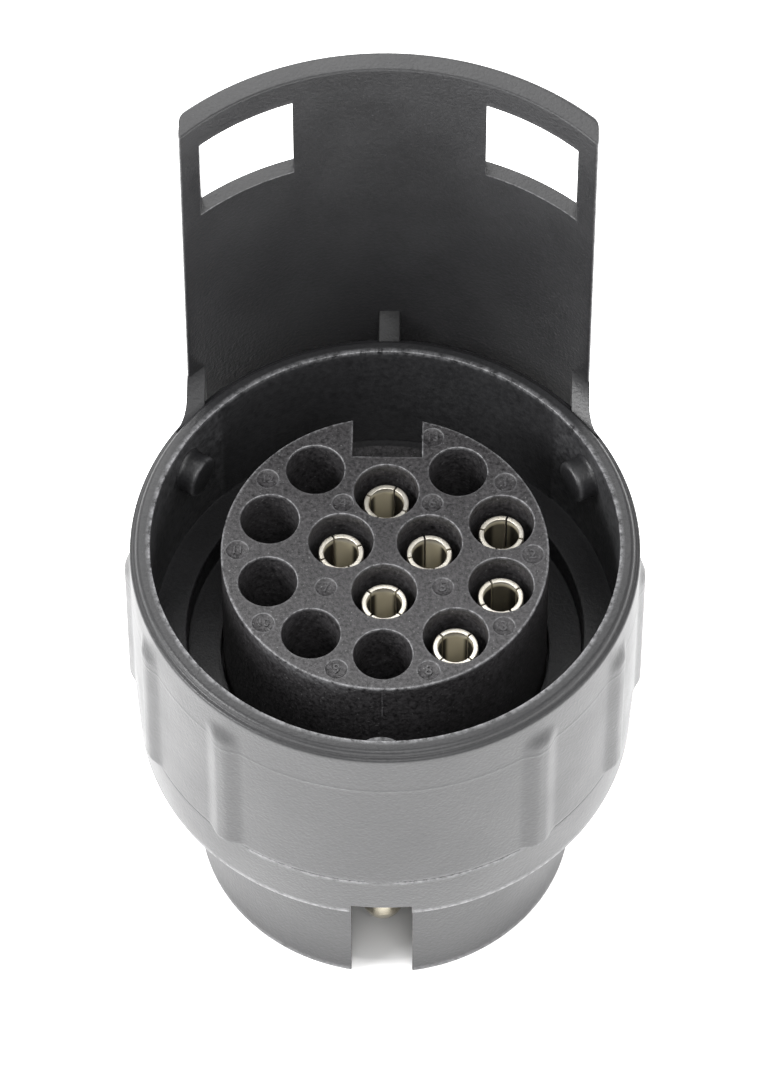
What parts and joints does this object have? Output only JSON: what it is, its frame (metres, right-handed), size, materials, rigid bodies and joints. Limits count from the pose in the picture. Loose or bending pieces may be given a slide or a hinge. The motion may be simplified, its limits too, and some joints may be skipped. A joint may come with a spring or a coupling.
{
  "type": "trailer wiring connector",
  "caption": "Short round trailer socket adapter: recessed multi-pole socket inside a ribbed collar, keyed plug sleeve below, tall curved guard plate with two windows behind.",
  "frame": {"origin": "centre of the 13-pole contact face, on the connector's axis", "axes": "+Z out of the socket along the connector's axis, -Y towards the plug's keyway, +Y towards the guard plate, +X to the right seen from the keyway side"},
  "size_m": [0.0574, 0.0609, 0.1014],
  "materials": {
    "housing_plastic": "moulded black glass-filled nylon, fine satin grain, paler rubbed edges",
    "insert_plastic": "moulded black plastic, finely speckled, light flash lines round the holes",
    "retainer_plastic": "moulded dark grey plastic, hidden inside",
    "seal_rubber": "soft black rubber",
    "contact_brass": "pale drawn brass, slightly dulled inside the bore",
    "pin_brass": "pale turned brass with fine turning marks",
    "wire_yellow": "yellow wire insulation",
    "wire_blue": "blue wire insulation",
    "wire_white": "white wire insulation",
    "wire_green": "green wire insulation",
    "wire_brown": "brown wire insulation",
    "wire_red": "red wire insulation",
    "wire_black": "black wire insulation",
    "screw_steel": "bright zinc-plated steel"
  },
  "bodies": {
    "root": {"collar_shell": "housing_plastic", "plug_body": "housing_plastic", "socket_insert": "insert_plastic", "contact_retainer": "retainer_plastic", "pin_carrier": "insert_plastic", "pin_retainer": "retainer_plastic", "body_seal": "seal_rubber", "socket_contact_1": "contact_brass", "socket_contact_2": "contact_brass", "socket_contact_3": "contact_brass", "socket_contact_4": "contact_brass", "socket_contact_5": "contact_brass", "socket_contact_6": "contact_brass", "socket_contact_7": "contact_brass", "plug_pin_1": "pin_brass", "plug_pin_2": "pin_brass", "plug_pin_3": "pin_brass", "plug_pin_4": "pin_brass", "plug_pin_5": "pin_brass", "plug_pin_6": "pin_brass", "plug_pin_7": "pin_brass", "jumper_wire_1": "wire_yellow", "jumper_wire_2": "wire_blue", "jumper_wire_3": "wire_white", "jumper_wire_4": "wire_green", "jumper_wire_5": "wire_brown", "jumper_wire_6": "wire_red", "jumper_wire_7": "wire_black", "housing_screw_1": "screw_steel", "housing_screw_2": "screw_steel", "housing_screw_3": "screw_steel", "housing_screw_4": "screw_steel"}
  },
  "joints": []
}
